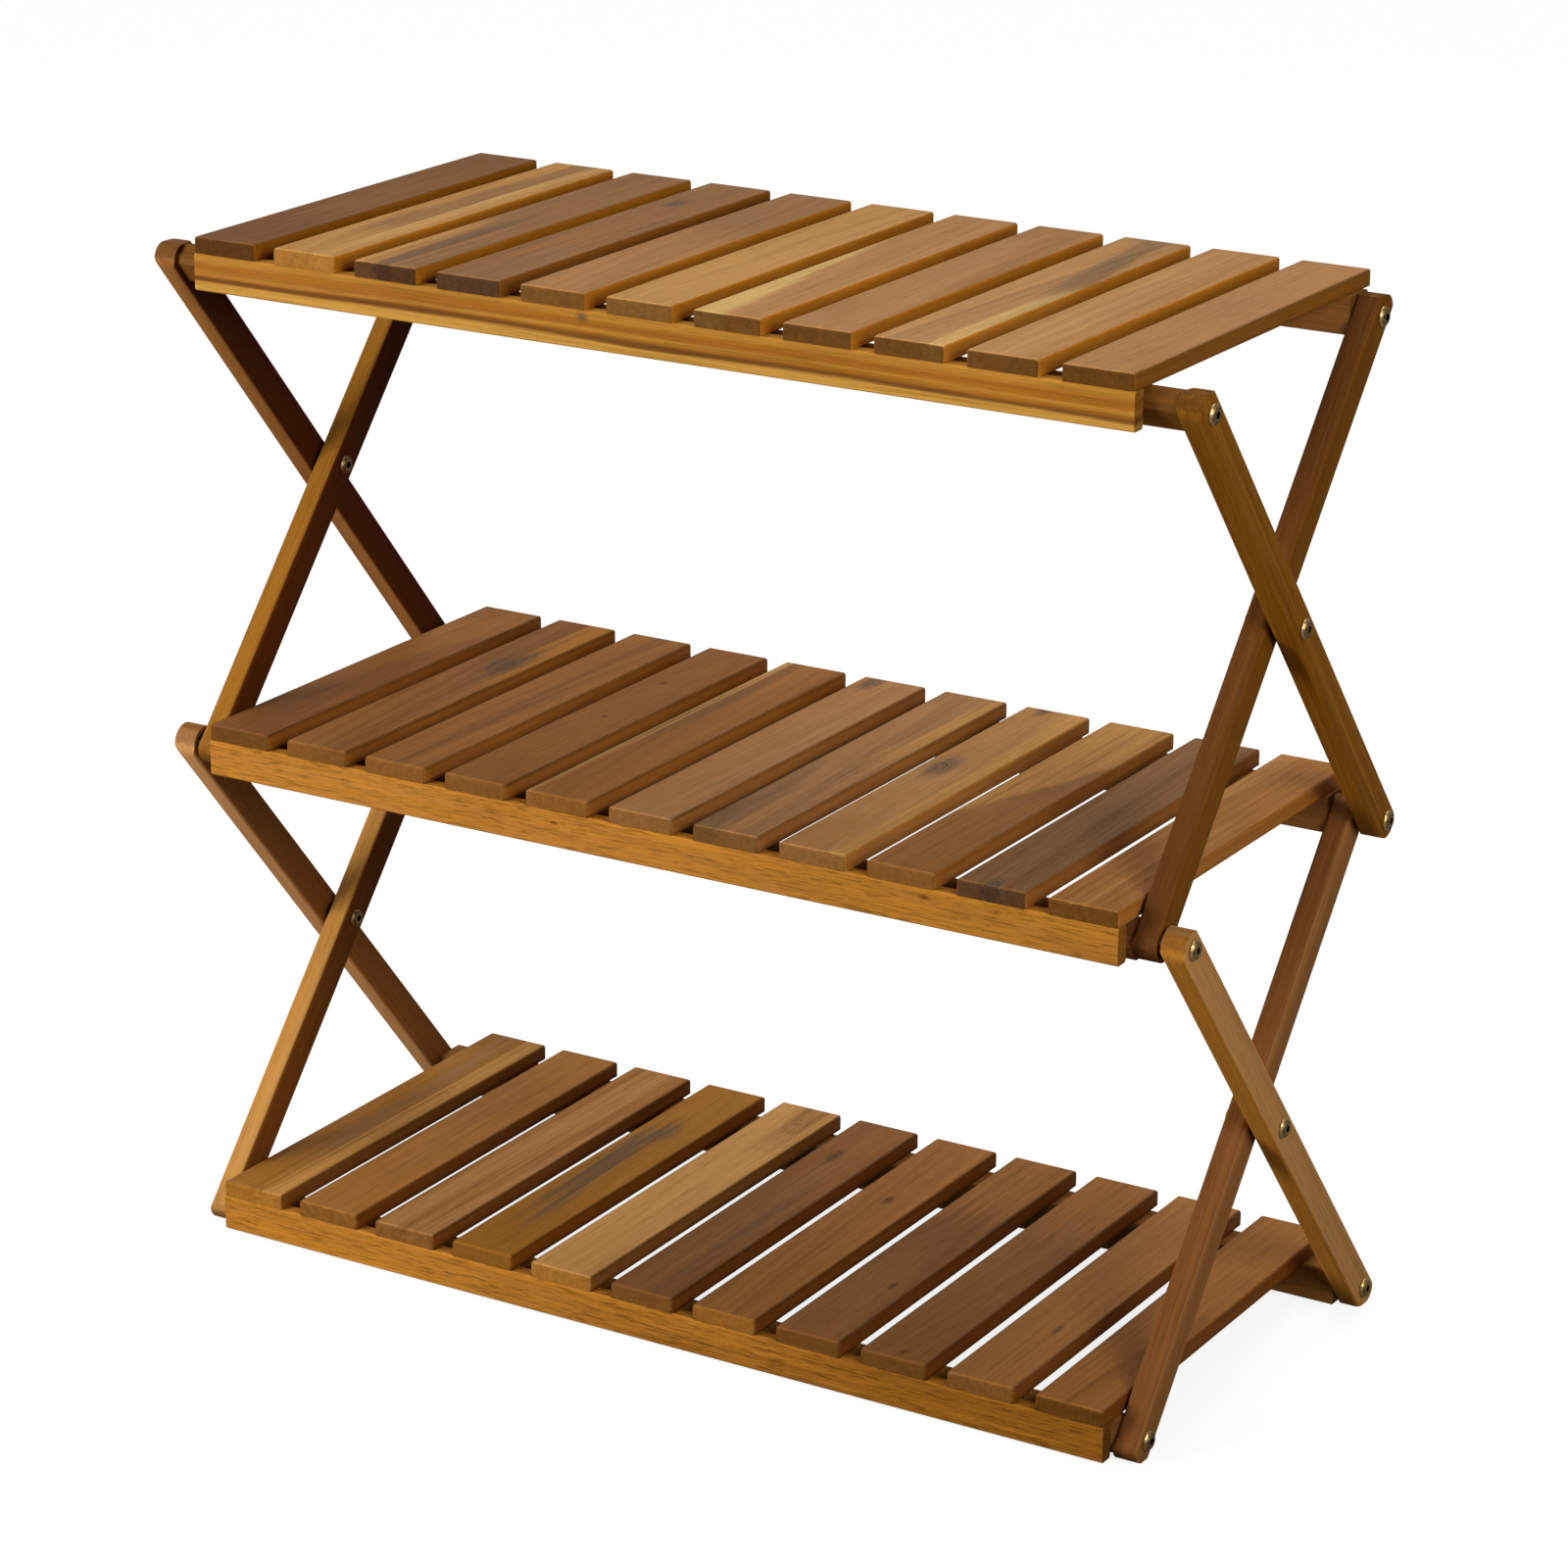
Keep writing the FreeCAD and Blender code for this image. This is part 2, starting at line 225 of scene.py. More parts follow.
def wood(name, place, turn, grainWay, half, look, seed):
    # place and turn put the grain along the piece, half is its half width and half thickness
    f = Finish(bpy.data.materials.new(name))
    coords = f.add("ShaderNodeTexCoord", {}, {}, "Object")
    seat = {"Vector": coords, "Location": place, "Rotation": turn}
    local = f.add("ShaderNodeMapping", {"vector_type": "TEXTURE"}, seat)
    across = f.add("ShaderNodeSeparateXYZ", {}, {0: local}, "X")
    along, depth = across.other("Y"), across.other("Z")
    shift = (0.37 * seed, 0.53 * seed, 0.29 * seed)
    own = f.add("ShaderNodeVectorMath", {"operation": "ADD"}, {0: local, 1: shift})

    # growth rings round a heart beside the piece, bent round the knots
    waver = f.noise(own, (34, 5, 34)) - 0.5
    streak = f.noise(own, grain["streak"], 3.0, 0.6)
    side = across - look.get("heart", 0.012) + waver * grain["waver"]
    knots = []
    for eye in look.get("knots", ()):
        offX, offY = across - eye["x"], along - eye["y"]
        wide = offX / eye["size"]
        tall = offY / (eye["slim"] * eye["size"])
        reach = (wide * wide + tall * tall) ** 0.5 + waver * 0.8 + (streak - 0.5) * 0.5
        spot = f.ease(reach, 1.0, 0.1)
        side = side - offX * spot * 0.9
        knots.append((spot, reach, woodTones[eye["tone"]]))
    rise = depth + look.get("pith", 0.05)
    distance = (side * side + rise * rise) ** 0.5 + along * look.get("taper", 0.03)
    broad = f.rings(distance * grain["broad"], 3.1 * seed)
    fine = f.rings(distance * grain["fine"], 7.7 * seed, 3.0)
    fibre = f.noise(own, grain["fibre"])
    pores = f.ease(f.noise(own, grain["pore"], 1.0), 0.57, 0.75)
    patch = f.noise(own, grain["patch"])

    # colours: early and late wood, stripes, knots
    early, late = woodTones[look["tone"]], woodTones[look.get("late", "umber")]
    figure = f.ease(broad * 0.4 + fine * 0.25 + streak * 0.35, 0.4, 0.62)
    colour = f.mix(figure * look.get("contrast", 0.5), early, late)
    fade, wander, soft = look.get("fade", 30), look.get("wander", 1.0), look.get("soft", 3.0)
    stray = (waver * 14 + (broad - 0.5) * 7 + (streak - 0.5) * 22) * wander
    for stripe in look.get("bands", ()):
        line = (across + along * stripe["lean"]) * 1000 + stray
        share = f.ease(line, stripe["start"] - soft, stripe["start"] + soft)
        share = share * (1 - f.ease(line, stripe["end"] - soft, stripe["end"] + soft))
        reach = along * 1000 + (streak - 0.5) * fade * 5
        if stripe["front"] > -900:
            share = share * f.ease(reach, stripe["front"] - fade, stripe["front"] + fade)
        if stripe["rear"] < 900:
            share = share * (1 - f.ease(reach, stripe["rear"] - fade, stripe["rear"] + fade))
        share = share * stripe["strength"] * f.ease(streak, 0.15, 0.5)
        colour = f.mix(share, colour, woodTones[stripe["tone"]])
    for spot, reach, eyeTone in knots:
        swirl = f.ease(f.rings(reach * 9, 2.3 * seed), 0.4, 0.65)
        colour = f.mix(spot * (0.5 + swirl * 0.4), colour, eyeTone)
    normal = coords.other("Normal")
    ends = f.ease(abs(f.facing(normal, grainWay)), 0.6, 0.9)
    for face, out in legFaceShading.items():  # painted light and shade: a leg's faces that look inside or to the front take their own tone
        if face in look:
            shown = f.ease(f.facing(normal, out), 0.5, 0.8)
            colour = f.mix(shown * grain["faceShare"], colour, woodTones[look[face]])
    if "side" in look:  # painted light and shade on the long sides, set per tier and per slat
        sides = f.ease(abs(f.facing(normal, (1, 0, 0))), 0.3, 0.85)
        sideTone, sideShare = look["side"]
        colour = f.mix(sides * sideShare, colour, woodTones[sideTone])
    endTone, endShare = look.get("end", ("umber", 0.35))
    colour = f.mix(ends * endShare, colour, woodTones[endTone])
    # rim along the long edges: above naught it is partly wear and partly a painted highlight, below
    # naught it is painted shade
    rim = f.ease(abs(across), half[0] - grain["rimWidth"], half[0])
    rim = rim * f.ease(abs(depth), half[1] - grain["rimWidth"], half[1])
    light = grain["base"] + patch * grain["patchLight"] + (fibre - 0.5) * grain["fibreLight"]
    light = light + (streak - 0.5) * grain["streakLight"] - pores * grain["poreShade"]
    light = light + rim * look.get("rim", 0.12) - ends * grain["endShade"]
    if "dashes" in look:  # short open pores
        light = light - f.ease(f.noise(own, grain["dash"], 1.0), 0.52, 0.66) * look["dashes"]
    colour = f.shade(colour, light * look.get("level", 1.0))

    height = fibre * 0.5 + fine * 0.35 - pores * 0.8
    relief = {"Strength": grain["bumpStrength"], "Distance": grain["bumpHeight"], "Height": height}
    bump = f.add("ShaderNodeBump", {}, relief)
    roughness = grain["roughness"] + (fine - 0.5) * 0.14 + pores * 0.12 + ends * 0.15 - rim * 0.05
    return f.surface({"Base Color": colour, "Roughness": roughness, "Normal": bump,
                      "Specular IOR Level": look.get("sheen", 0.05)})


def finishMesh(mesh, name, material, body):
    bmesh.ops.remove_doubles(mesh, verts=mesh.verts, dist=1e-6)
    bmesh.ops.recalc_face_normals(mesh, faces=mesh.faces)
    data = bpy.data.meshes.new(name)
    mesh.to_mesh(data)
    mesh.free()
    data.materials.append(material)
    piece = bpy.data.objects.new(name, data)
    bpy.context.scene.collection.objects.link(piece)
    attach(piece, body)
    return piece


def dress(name, material):
    slots = nodes[name].data.materials
    slots.clear()
    slots.append(material)


# slats, from left to right: tone and late wood, stripes, knots and end grain

slatLooks = {
    "top": [
        {"tone": "chestnut", "late": "walnut", "contrast": 0.6, "level": 0.76, "end": ("peat", 0.95),
         "rim": -0.2,
         "bands": [band(-60, 60, "russet", 0.4, rear=-60)]},
        {"tone": "honey", "late": "chestnut", "contrast": 0.4, "taper": 0.05, "end": ("amber", 0.8),
         "bands": [band(-9, 8, "walnut", 0.75, -0.02, front=-70), band(8, 14, "straw", 0.5)]},
        {"tone": "walnut", "late": "chestnut", "contrast": 0.5, "level": 1.05, "end": ("bark", 0.85),
         "rim": -0.2,
         "bands": [band(-60, -15, "honey", 0.7, 0.06, rear=-20), band(-6, 4, "smoke", 0.5, rear=0)]},
        {"tone": "walnut", "late": "chestnut", "level": 1.06, "end": ("bark", 0.75),
         "side": ("olive", 0.9), "knots": [knot(-6, 84, 9, "smoke")]},
        {"tone": "rose", "late": "chestnut", "end": ("toast", 0.9),
         "bands": [band(-60, 60, "walnut", 0.55, front=30)]},
        {"tone": "honey", "late": "tan", "contrast": 0.5, "level": 0.97, "end": ("toast", 0.8)},
        {"tone": "tan", "late": "chestnut", "contrast": 0.4,
         "bands": [band(-60, -15, "straw", 0.9, 0.08)]},
        {"tone": "rose", "late": "chestnut", "contrast": 0.45},
        {"tone": "tan", "late": "walnut", "contrast": 0.6,
         "bands": [band(8, 26, "smoke", 0.45, 0.14), band(11, 40, "straw", 0.6, rear=0)]},
        {"tone": "tan", "late": "chestnut", "contrast": 0.35},
        {"tone": "rose", "late": "chestnut", "contrast": 0.35, "level": 1.02,
         "side": ("olive", 0.95), "end": ("peat", 0.95), "rim": -0.25},
    ],
    "middle": [
        {"tone": "chestnut", "late": "russet", "end": ("toast", 0.8),
         "bands": [band(-60, 60, "russet", 0.6, rear=-60)]},
        {"tone": "chestnut", "late": "umber", "knots": [knot(4, 52, 19, "smoke")],
         "bands": [band(5, 40, "amber", 0.75, front=34)]},
        {"tone": "chestnut", "late": "russet", "contrast": 0.45, "level": 1.12,
         "bands": [band(-3, 6, "umber", 0.4)]},
        {"tone": "chestnut", "late": "umber", "contrast": 0.4,
         "knots": [knot(-6, 68, 2.5), knot(0, -8, 2)]},
        {"tone": "chestnut", "late": "russet", "level": 1.06,
         "bands": [band(-60, -18, "straw", 0.55), band(-18, -9, "smoke", 0.35, front=-10)]},
        {"tone": "rose", "late": "chestnut", "knots": [knot(-11, 138, 8, "smoke")]},
        {"tone": "rose", "late": "walnut", "contrast": 0.8, "end": ("toast", 0.7),
         "bands": [band(7, 40, "honey", 0.8, -0.03, front=12), band(-60, -4, "smoke", 0.4, rear=-60)]},
        {"tone": "tan", "late": "chestnut",
         "knots": [knot(-9, 18, 13, "smoke"), knot(-8, 148, 7, "smoke")],
         "bands": [band(9, 40, "honey", 0.75)], "rim": 0.1},
        {"tone": "chestnut", "late": "walnut", "contrast": 0.8,
         "bands": [band(-300, -3, "honey", 0.65, -0.32)], "rim": -0.14},
        {"tone": "walnut", "late": "umber", "rim": -0.2, "end": ("bark", 0.6),
         "knots": [knot(0, -152, 10, "smoke")]},
        {"tone": "chestnut", "late": "tan", "contrast": 0.4, "level": 1.1, "end": ("peat", 0.85),
         "rim": -0.14},
    ],
    "bottom": [
        {"tone": "gold", "late": "chestnut", "contrast": 0.6, "end": ("amber", 0.8), "rim": -0.25,
         "bands": [band(-7, 7, "walnut", 0.6, 0.05, front=-80), band(8, 40, "honey", 0.6)]},
        {"tone": "chestnut", "late": "gold", "contrast": 0.5, "level": 1.06, "rim": -0.3},
        {"tone": "chestnut", "late": "tan", "contrast": 0.5},
        {"tone": "gold", "late": "olive", "level": 1.16, "knots": [knot(-2, 62, 13, "smoke")],
         "bands": [band(-13, 2, "smoke", 0.75, 0.05, front=-80, rear=70)]},
        {"tone": "honey", "late": "tan", "end": ("amber", 0.8),
         "knots": [knot(6, 140, 24, "cocoa", 4.2)]},
        {"tone": "cocoa", "late": "russet", "bands": [band(2, 10, "smoke", 0.25, rear=30)],
         "knots": [knot(-5, 88, 8)]},
        {"tone": "chestnut", "late": "russet", "end": ("amber", 0.6),
         "knots": [knot(1, 46, 5), knot(-21, -29, 4)]},
        {"tone": "cocoa", "late": "umber", "contrast": 0.5, "end": ("toast", 0.7),
         "bands": [band(-60, 60, "chestnut", 0.6, front=50)], "knots": [knot(9, -64, 3)]},
        {"tone": "cocoa", "late": "umber", "contrast": 0.45, "end": ("toast", 0.7),
         "bands": [band(-60, 60, "chestnut", 0.5, front=60)], "knots": [knot(2, -141, 3)]},
        {"tone": "chestnut", "late": "walnut", "rim": -0.3, "knots": [knot(7, -66, 4, "smoke")]},
        {"tone": "chestnut", "late": "umber", "end": ("peat", 0.8), "rim": -0.2},
    ],
}

# per tier: side tones paint light and shade on the long sides; a rim above naught is partly wear and
# partly a painted highlight on the long edges, a rim below naught paints shade there; end tones are the
# darker end grain
slatEdges = {
    "top": {"side": ("rust", 0.88), "end": ("peat", 0.9), "rim": 0.06},
    "middle": {"side": ("copper", 0.7), "end": ("cinnamon", 0.7), "rim": -0.42},
    "bottom": {"side": ("ember", 0.75), "end": ("cinnamon", 0.65), "rim": -0.45},
}
slatSizes = {
    "corner": 1.8,  # radii in mm: upright corners, upper and lower edges
    "upperEdge": 2.3,
    "lowerEdge": 0.3,
    "segments": 4,
}


def roundEdges(mesh, edges, radius):
    bmesh.ops.bevel(mesh, geom=edges, offset=radius * mm, offset_type="OFFSET", affect="EDGES",
                    segments=slatSizes["segments"], profile=0.5, material=-1, clamp_overlap=True)


def roundedSlat(low, high):
    mesh = bmesh.new()
    place = Matrix.Translation((low + high) / 2) @ Matrix.Diagonal((*(high - low), 1))
    bmesh.ops.create_cube(mesh, size=1.0, matrix=place)
    upright = [e for e in mesh.edges if abs(e.verts[0].co.z - e.verts[1].co.z) > mm]
    roundEdges(mesh, upright, slatSizes["corner"])
    for height, key in ((high.z, "upperEdge"), (low.z, "lowerEdge")):
        rim = [e for e in mesh.edges if all(abs(v.co.z - height) < 1e-5 for v in e.verts)]
        roundEdges(mesh, rim, slatSizes[key])
    for face in mesh.faces:  # only the roundings are shaded smooth
        face.smooth = max(abs(value) for value in face.normal) < 0.999
    return mesh


seed = 1.0
for tier, looks in slatLooks.items():
    for index, look in enumerate(looks):
        name = f"{tier}_slat_{index + 1:02d}"
        low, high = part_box(name)
        middle, size = (low + high) / 2, high - low
        rings = dict(slatEdges[tier], **look)
        rings["heart"] = 0.03 * math.sin(2.3 * seed)
        rings["pith"] = 0.045 + 0.025 * math.sin(1.7 * seed)
        half = (size.x / 2, size.z / 2)
        finish = wood(name + "_wood", middle, (0, 0, 0), (0, 1, 0), half, rings, seed)
        body = nodes[name]["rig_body"]
        slat = finishMesh(roundedSlat(low, high), name + "_rounded", finish, body)
        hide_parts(name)
        seed += 1.0
print("slats finished")


# rails and front bars: grain along X, stripes counted up the height

railTurn = Matrix(((0, 1, 0), (0, 0, 1), (1, 0, 0))).to_euler()
plainRail = {"tone": "chestnut", "late": "umber"}
railLooks = {
    "top_front_rail": {
        "tone": "ginger", "late": "copper", "contrast": 0.6, "level": 0.84,
        "fade": 90, "wander": 0.22, "soft": 1.2,
        "knots": [knot(7, -38, 4, "smoke", 1.6)],
        "bands": [band(-40, -5, "wheat", 0.85), band(-5.5, -2.5, "umber", 0.8, 0.004),
                  band(-1, 1.5, "wheat", 0.4, 0.003), band(2, 4, "copper", 0.7, -0.006),
                  band(7, 40, "wheat", 0.35)],
    },
    "middle_front_rail": {
        "tone": "amber", "late": "chestnut", "contrast": 0.6, "level": 1.1, "fade": 150, "dashes": 0.3,
        "bands": [band(-40, 40, "gold", 0.5, front=60)], "knots": [knot(4, -60, 1.6), knot(6, 190, 2)],
    },
    "bottom_front_rail": {
        "tone": "amber", "late": "chestnut", "contrast": 0.7, "level": 1.1, "fade": 200, "dashes": 0.35,
        "bands": [band(-40, 40, "olive", 0.7, front=40)],
    },
    "top_rear_rail": plainRail,
    "middle_rear_rail": plainRail,
    "bottom_rear_rail": plainRail,
    "top_front_bar": {"tone": "toast", "late": "umber", "contrast": 0.4},
    "middle_front_bar": dict(plainRail, tone="russet"),
    "bottom_front_bar": plainRail,
}

for name, look in railLooks.items():
    low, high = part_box(name)
    middle, size = (low + high) / 2, high - low
    half = (size.z / 2, size.y / 2)
    rings = dict(look, sheen=0.03, taper=0.02, heart=0.02 * math.sin(seed))
    dress(name, wood(name + "_wood", middle, railTurn, (1, 0, 0), half, rings, seed))
    seed += 1.0
print("rails and bars finished")


# legs, with the grain along their lean

legLean = math.radians(40.211)
legHalf = 11 * mm
# the inside and front tones of the legs paint light and shade on those faces
legLooks = {
    "upper_outer_leg_left": {"way": -1, "tone": "chestnut", "late": "russet", "inside": "mahogany"},
    "upper_inner_leg_left": {"way": 1, "tone": "gold", "late": "olive", "inside": "mahogany"},
    "lower_outer_leg_left": {
        "way": -1, "tone": "chestnut", "late": "russet", "front": "rose", "level": 1.25,
    },
    "lower_inner_leg_left": {
        "way": 1, "tone": "honey", "late": "amber", "inside": "ember", "level": 0.88,
    },
    "upper_outer_leg_right": {"way": -1, "tone": "olive", "late": "gold"},
    "upper_inner_leg_right": {
        "way": 1, "tone": "olive", "late": "umber", "front": "umber", "level": 0.9, "wander": 0.3,
        "soft": 1.5, "bands": [band(-6, -1, "umber", 0.5), band(1, 4, "gold", 0.8)],
    },
    "lower_outer_leg_right": {"way": -1, "tone": "tan", "late": "gold", "front": "ginger"},
    "lower_inner_leg_right": {
        "way": 1, "tone": "cocoa", "late": "umber", "front": "umber", "level": 1.4, "wander": 0.3,
        "soft": 1.5, "bands": [band(-5, -2, "umber", 0.6), band(0, 3, "chestnut", 0.7)],
    },
}

for name, look in legLooks.items():
    low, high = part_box(name)
    lean = look["way"] * legLean
    turn = (math.pi / 2 - lean, 0, 0)
    way = (0, math.sin(lean), math.cos(lean))
    half = ((high.x - low.x) / 2, legHalf)
    rings = dict(look, taper=0.01, sheen=0.03)
    dress(name, wood(name + "_wood", (low + high) / 2, turn, way, half, rings, seed))
    seed += 1.0
print("legs finished")


# antique brass bolts, cap nuts, washers and inserts

boltSizes = {
    "shank": 3.0,  # radii and lengths in mm
    "shankTip": 2.3,
    "shankTaper": 0.8,
    "head": 6.25,
    "headEdge": 0.15,
    "crown": [(0.75, 1.0), (1.15, 0.98), (1.6, 0.93), (2.1, 0.85),
              (2.55, 0.77), (2.85, 0.7), (3.0, 0.62)],  # heights and shares of the radius
    "nutHead": 5.75,
    "nutCrown": [(0.6, 1.0), (1.0, 0.97), (1.4, 0.91), (1.8, 0.83),
                 (2.15, 0.75), (2.4, 0.68), (2.5, 0.62)],
    "socketRim": 3.0,
    "socketCorner": 2.31,
    "socketDepth": 1.8,
    "nutBarrel": 4.0,
    "nutLength": 9.9,
    "nutWeb": 3.0,  # closed end of the barrel
    "boltInNut": 4.2,
    "washer": 8.5,
    "washerThickness": 2.8,
    "washerEdge": 0.4,
    "insert": 4.5,
    "insertLength": 14.0,
    "insertEdge": 0.3,
    "bore": 3.05,
    "turning": 0.1,  # clearance at the faces that turn
    "steps": 24,
}
boltSeats = {
    "upper_crossing_bolts": {"leg": "outer", "nut": True, "washer": True},
    "lower_crossing_bolts": {"leg": "outer", "nut": True, "washer": True},
    "top_front_bolts": {"leg": "outer", "held": "top_front_bar"},
    "middle_front_bolts": {"leg": "outer", "held": "middle_front_bar", "washer": True},
    "bottom_front_bolts": {"leg": "inner", "held": "bottom_front_bar"},
    "top_rear_bolts": {"leg": "inner", "held": "top_rear_rail"},
    "middle_rear_bolts": {"leg": "outer", "held": "middle_rear_rail", "washer": True},
    "bottom_rear_bolts": {"leg": "outer", "held": "bottom_rear_rail"},
}
brassLook = {
    "worn": tone(214, 184, 122),
    "aged": tone(158, 128, 78),
    "dark": tone(66, 52, 36),
    # painted shade for the washers round the heads
    "dull": tone(48, 34, 20),
    "roughness": 0.4,
    "cloud": (420, 420, 420),
    "socket": (1.9, 2.3),  # where a zone begins or ends, as radii in mm
    "lipFrom": (2.2, 2.6),
    "lipTo": (3.0, 3.6),
    "rubbedFrom": (4.9, 5.9),
    "rubbedTo": (6.4, 6.8),
    "washer": (6.5, 7.0),
}


def brass(name, pivot):
    f = Finish(bpy.data.materials.new(name))
    coords = f.add("ShaderNodeTexCoord", {}, {}, "Object")
    seat = {"Vector": coords, "Location": pivot}
    local = f.add("ShaderNodeMapping", {"vector_type": "TEXTURE"}, seat)
    x = f.add("ShaderNodeSeparateXYZ", {}, {0: local}, "X")
    y, z = x.other("Y"), x.other("Z")
    radius = (y * y + z * z) ** 0.5 * 1000
    cloud = f.noise(local, brassLook["cloud"], 3.0)
    turning = f.rings(radius * 9, 1.7, 2.0)  # lathe marks
    rubbed = f.ease(radius + (cloud - 0.5) * 1.2, *brassLook["rubbedFrom"])
    rubbed = rubbed * (1 - f.ease(radius, *brassLook["rubbedTo"]))
    lip = f.ease(radius, *brassLook["lipFrom"]) * (1 - f.ease(radius, *brassLook["lipTo"]))
    colour = f.mix(f.ease(cloud, 0.35, 0.7), brassLook["aged"], brassLook["dark"])
    colour = f.mix((rubbed * 0.75 + lip * 0.5) * f.ease(cloud, 0.25, 0.5), colour, brassLook["worn"])
    colour = f.mix(1 - f.ease(radius, *brassLook["socket"]), colour, brassLook["dark"])
    # the washers round the heads are darkened: painted shade
    colour = f.mix(f.ease(radius, *brassLook["washer"]), colour, brassLook["dull"])
    relief = {"Strength": 0.15, "Distance": 0.0002, "Height": turning * 0.5 + cloud * 0.5}
    bump = f.add("ShaderNodeBump", {}, relief)
    roughness = brassLook["roughness"] + (cloud - 0.5) * 0.25 - rubbed * 0.08
    return f.surface({"Base Color": colour, "Metallic": 1.0, "Roughness": roughness, "Normal": bump})


def plainBrass(name):  # small screws, dulled all over
    f = Finish(bpy.data.materials.new(name))
    coords = f.add("ShaderNodeTexCoord", {}, {}, "Object")
    cloud = f.noise(coords, (600, 600, 600), 3.0)
    colour = f.mix(f.ease(cloud, 0.3, 0.7), brassLook["worn"], brassLook["aged"])
    roughness = brassLook["roughness"] + (cloud - 0.5) * 0.3
    return f.surface({"Base Color": colour, "Metallic": 1.0, "Roughness": roughness})


def turned(mesh, profile, start, way, pivot, closed=False):
    # spins (x, radius) points round a bolt's line; way is 1 or -1 along X
    points = [mesh.verts.new((start + way * x * mm, pivot.y, pivot.z + r * mm)) for x, r in profile]
    edges = [mesh.edges.new(pair) for pair in zip(points, points[1:])]
    if closed:
        edges.append(mesh.edges.new((points[-1], points[0])))
    bmesh.ops.spin(mesh, geom=points + edges, cent=(start, pivot.y, pivot.z), axis=(1, 0, 0),
                   angle=2 * math.pi, steps=boltSizes["steps"], use_merge=True)


def addSocket(mesh, top, way, pivot):
    # the hexagon in a bolt's head, joined to the open ring at its crown
    s = boltSizes
    ring = [e for e in mesh.edges if e.is_boundary and all(abs(v.co.x - top) < 1e-6 for v in e.verts)]
    turn = Matrix.Translation((top, pivot.y, pivot.z)) @ Matrix.Rotation(math.pi / 2, 4, "Y")
    made = bmesh.ops.create_circle(mesh, segments=6, radius=s["socketCorner"] * mm, matrix=turn)
    hexagon = [e for e in mesh.edges if all(v in made["verts"] for v in e.verts)]
    cut = bmesh.ops.subdivide_edges(mesh, edges=hexagon, cuts=s["steps"] // 6 - 1)
    hexagon = [g for g in cut["geom"] if isinstance(g, bmesh.types.BMEdge)]
    bmesh.ops.bridge_loops(mesh, edges=ring + hexagon)
    walls = bmesh.ops.extrude_edge_only(mesh, edges=hexagon)["geom"]
    floor = [g for g in walls if isinstance(g, bmesh.types.BMVert)]
    bmesh.ops.translate(mesh, verts=floor, vec=(-way * s["socketDepth"] * mm, 0, 0))
    lowest = [g for g in walls if isinstance(g, bmesh.types.BMEdge) and g.is_boundary]
    bmesh.ops.contextual_create(mesh, geom=lowest)


def addTube(mesh, piece, length, edge, start, way, pivot):
    # a washer or an insert with broken edges round the bore
    inside, outside = boltSizes["bore"], boltSizes[piece]
    profile = [(0, inside), (0, outside - edge), (edge, outside)]
    profile += [(length - edge, outside), (length, outside - edge), (length, inside)]
    turned(mesh, profile, start, way, pivot, closed=True)


def addHead(mesh, stem, radius, crown, start, way, pivot):
    # a domed head with its stem and hexagon, seated at start and pointing along way
    edge = boltSizes["headEdge"]
    rim = [(0, radius - edge), (edge, radius)]
    dome = [(height, radius * share) for height, share in crown]
    turned(mesh, stem + rim + dome + [(dome[-1][0], boltSizes["socketRim"])], start, way, pivot)
    addSocket(mesh, start + way * dome[-1][0] * mm, way, pivot)


legFace = {
    "outer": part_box("upper_outer_leg_right")[1].x,
    "inner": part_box("upper_inner_leg_right")[1].x,
    "innerInside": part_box("upper_inner_leg_right")[0].x,
}

s = boltSizes
for name, seat in boltSeats.items():
    low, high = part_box(name)
    pivot = Vector((0, (low.y + high.y) / 2, (low.z + high.z) / 2))
    mesh = bmesh.new()
    for way in (1, -1):
        head = legFace[seat["leg"]] + s["turning"] * mm
        if "nut" in seat:
            nutSeat = legFace["innerInside"] - s["turning"] * mm
            tip = nutSeat + s["boltInNut"] * mm
            barrel = [(-s["nutWeb"], 0.0), (-s["nutWeb"], s["bore"]), (-s["nutLength"], s["bore"])]
            barrel += [(-s["nutLength"], s["nutBarrel"]), (0, s["nutBarrel"])]
            addHead(mesh, barrel, s["nutHead"], s["nutCrown"], way * nutSeat, -way, pivot)
        else:
            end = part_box(seat["held"])[1].x
            tip = end - s["insertLength"] * mm
            addTube(mesh, "insert", s["insertLength"], s["insertEdge"], way * end, -way, pivot)
        length = (head - tip) / mm
        shank = [(-length, 0.0), (-length, s["shankTip"]), (s["shankTaper"] - length, s["shank"])]
        shank.append((0, s["shank"]))
        addHead(mesh, shank, s["head"], s["crown"], way * head, way, pivot)
        if "washer" in seat:
            gap = legFace["inner"] + s["turning"] * mm
            addTube(mesh, "washer", s["washerThickness"], s["washerEdge"], way * gap, way, pivot)
    finish = brass(name + "_brass", pivot)
    piece = finishMesh(mesh, name + "_turned", finish, nodes[name]["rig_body"])
    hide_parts(name)
print("bolts turned")


# slat screws, driven up through the rails

screwSizes = {
    "head": [(3.4, 0.0), (3.4, 0.12), (2.6, 0.36), (1.4, 0.5)],  # radii and drops in mm
    "recess": [(0.9, 0.5), (0.7, 0.1), (0.0, 0.1)],
    "steps": 12,
}


def addScrew(mesh, x, y, z):
    points = screwSizes["head"] + screwSizes["recess"]
    ring = [mesh.verts.new((x + r * mm, y, z - drop * mm)) for r, drop in points]
    edges = [mesh.edges.new(pair) for pair in zip(ring, ring[1:])]
    bmesh.ops.spin(mesh, geom=ring + edges, cent=(x, y, z), axis=(0, 0, 1),
                   angle=2 * math.pi, steps=screwSizes["steps"], use_merge=True)


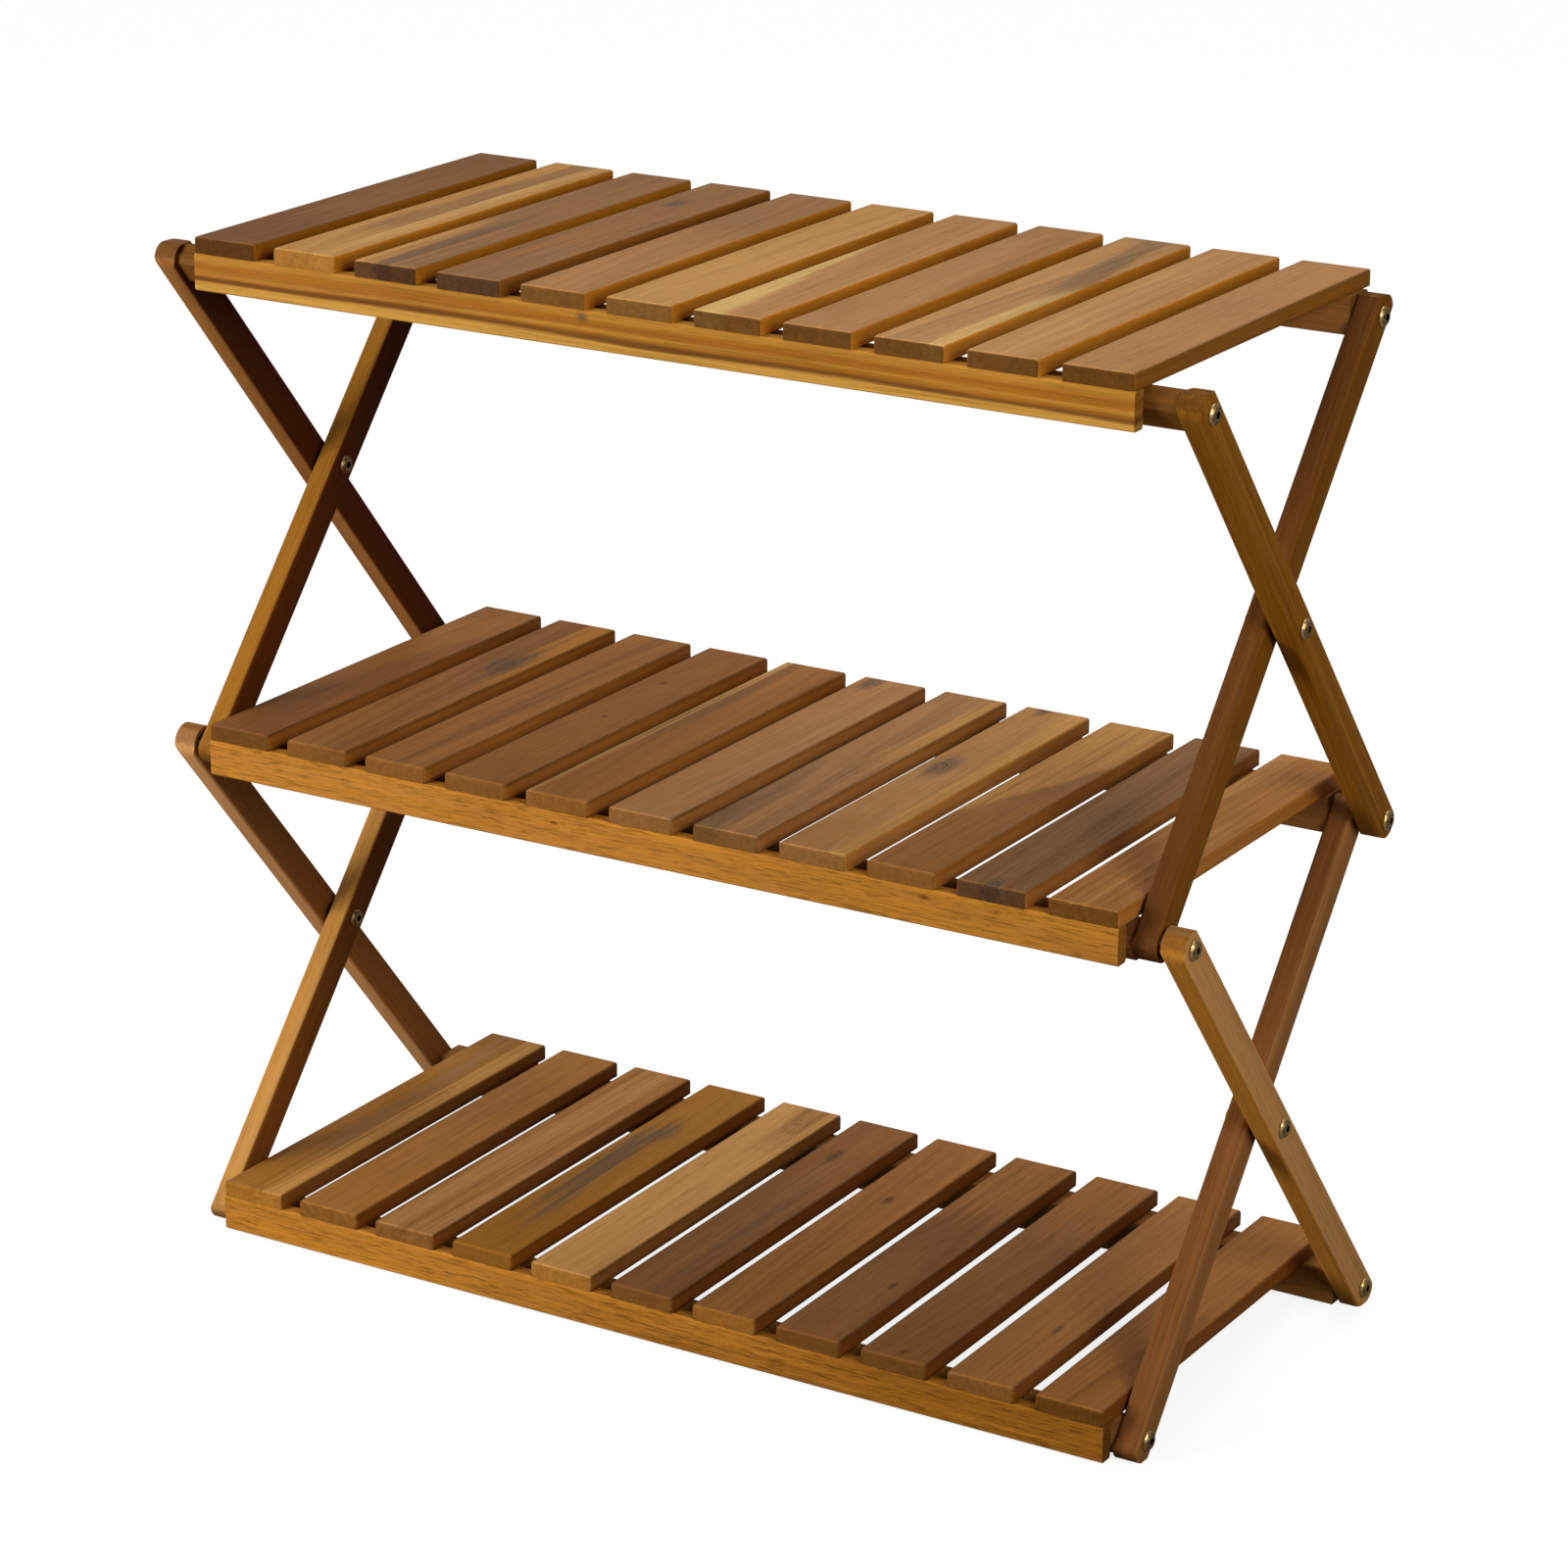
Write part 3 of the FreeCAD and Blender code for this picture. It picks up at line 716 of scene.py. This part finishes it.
for tier in slatLooks:
    mesh = bmesh.new()
    front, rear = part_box(f"{tier}_front_rail"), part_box(f"{tier}_rear_rail")
    for index in range(len(slatLooks[tier])):
        low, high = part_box(f"{tier}_slat_{index + 1:02d}")
        for rail in (front, rear):
            addScrew(mesh, (low.x + high.x) / 2, (rail[0].y + rail[1].y) / 2, rail[0].z)
    name = f"{tier}_slat_screws"
    finishMesh(mesh, name, plainBrass(name + "_brass"), f"{tier}_shelf")
print("screws set")


# camera at the photograph's angle

cameraView = {
    "lens": 111.108,
    "sensor": 36.0,
    "azimuth": 30.868,
    "elevation": 18.769,
    "roll": 0.417,
    "place": (1.43537, -2.38818, 1.25946),
}

azimuth = math.radians(cameraView["azimuth"])
elevation = math.radians(cameraView["elevation"])
roll = math.radians(cameraView["roll"])
level = math.cos(elevation)
back = Vector((math.sin(azimuth) * level, -math.cos(azimuth) * level, math.sin(elevation)))
right = Vector((math.cos(azimuth), math.sin(azimuth), 0))
up = back.cross(right)
rolledRight = right * math.cos(roll) + up * math.sin(roll)
rolledUp = up * math.cos(roll) - right * math.sin(roll)
camera = bpy.data.objects.new("camera", bpy.data.cameras.new("camera"))
camera.data.lens = cameraView["lens"]
camera.data.sensor_width = cameraView["sensor"]
facing = Matrix((rolledRight, rolledUp, back)).transposed().to_4x4()
camera.matrix_world = Matrix.Translation(cameraView["place"]) @ facing
bpy.context.scene.collection.objects.link(camera)
bpy.context.scene.camera = camera


# studio: white floor and backdrop, a wide soft sun and two lamps

studio = {
    "floorSize": 30.0,
    "floorColour": (0.22, 0.22, 0.22, 1.0),
    "floorGlow": 0.84,
    "worldLight": 0.12,  # on the object, and in its reflections
    "worldShine": 0.34,
    "sun": {"place": (-0.8, 1.0, 3.0), "spread": 50.0, "strength": 1.85},
    "lamps": {
        "key": {"place": (-1.4, -1.9, 0.9), "size": 1.3, "power": 60},
        "side": {"place": (1.7, -0.9, 1.3), "size": 0.9, "power": 26},
    },
    "aim": (0, 0, 0.32),
}

floorMesh = bmesh.new()
bmesh.ops.create_grid(floorMesh, x_segments=1, y_segments=1, size=studio["floorSize"] / 2)
floorData = bpy.data.meshes.new("floor")
floorMesh.to_mesh(floorData)
floorMesh.free()
floor = bpy.data.objects.new("floor", floorData)
bpy.context.scene.collection.objects.link(floor)
paper = Finish(bpy.data.materials.new("floor_paper"))
seen = paper.add("ShaderNodeLightPath", {}, {}, "Is Camera Ray")
matt = paper.add("ShaderNodeBsdfDiffuse", {}, {"Color": studio["floorColour"]})
lit = {"Color": (1, 1, 1, 1), "Strength": seen * studio["floorGlow"]}
glow = paper.add("ShaderNodeEmission", {}, lit)
both = paper.add("ShaderNodeAddShader", {}, {0: matt, 1: glow})
paper.add("ShaderNodeOutputMaterial", {}, {"Surface": both})
floorData.materials.append(paper.block)

air = Finish(bpy.data.worlds.new("studio"))
sight = air.add("ShaderNodeLightPath", {}, {}, "Is Camera Ray")
mirrored = sight.other("Is Glossy Ray") * (studio["worldShine"] - studio["worldLight"])
brightness = mirrored + sight * (1 - studio["worldLight"]) + studio["worldLight"]
sky = air.add("ShaderNodeBackground", {}, {"Color": (1, 1, 1, 1), "Strength": brightness})
air.add("ShaderNodeOutputWorld", {}, {"Surface": sky})
bpy.context.scene.world = air.block


def addLamp(name, kind, place):
    data = bpy.data.lights.new(name, kind)
    lamp = bpy.data.objects.new(name, data)
    lamp.location = place
    lamp.rotation_mode = "QUATERNION"
    lamp.rotation_quaternion = (Vector(studio["aim"]) - lamp.location).to_track_quat("-Z", "Y")
    bpy.context.scene.collection.objects.link(lamp)
    return data


sun = addLamp("sun", "SUN", studio["sun"]["place"])
sun.angle = math.radians(studio["sun"]["spread"])
sun.energy = studio["sun"]["strength"]
for name, lamp in studio["lamps"].items():
    data = addLamp(name, "AREA", lamp["place"])
    data.size = lamp["size"]
    data.energy = lamp["power"]

bpy.context.scene.view_settings.view_transform = "Standard"
print("studio lit")
